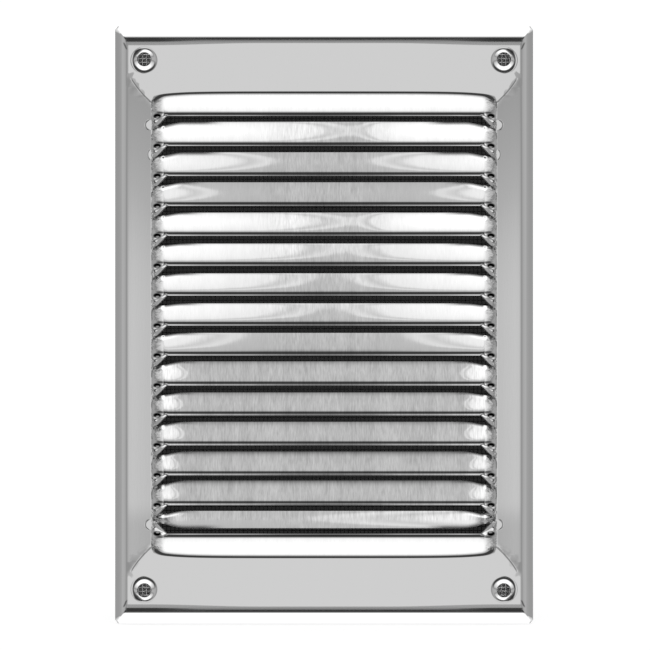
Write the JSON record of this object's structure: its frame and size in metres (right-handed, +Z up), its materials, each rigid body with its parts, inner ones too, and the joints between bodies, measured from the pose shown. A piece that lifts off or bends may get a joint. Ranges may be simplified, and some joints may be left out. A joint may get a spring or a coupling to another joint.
{
  "type": "louvre vent",
  "caption": "Rectangular pressed sheet-metal louvre vent with a bevelled rim, dimpled corner screw holes and an insect screen behind it.",
  "frame": {"origin": "centre of the assembly's bounding box", "axes": "+X across the plate to the right as seen from the front, +Y into the wall (the polished front faces -Y), +Z up the plate, towards the end whose blades' lips point down"},
  "size_m": [0.14, 0.0078, 0.2],
  "materials": {
    "polished_stainless": "mirror-polished stainless steel sheet",
    "stainless_mesh": "woven stainless wire, dull",
    "brushed_stainless": "mill-finish stainless strip",
    "grey_foam": "grey closed-cell foam strip, matte"
  },
  "bodies": {
    "root": {"louvre_plate": "polished_stainless", "insect_screen": "stainless_mesh", "screen_retainer_top": "brushed_stainless", "screen_retainer_bottom": "brushed_stainless", "screen_retainer_left": "brushed_stainless", "screen_retainer_right": "brushed_stainless", "foam_seal_top": "grey_foam", "foam_seal_bottom": "grey_foam", "foam_seal_left": "grey_foam", "foam_seal_right": "grey_foam"}
  },
  "joints": []
}
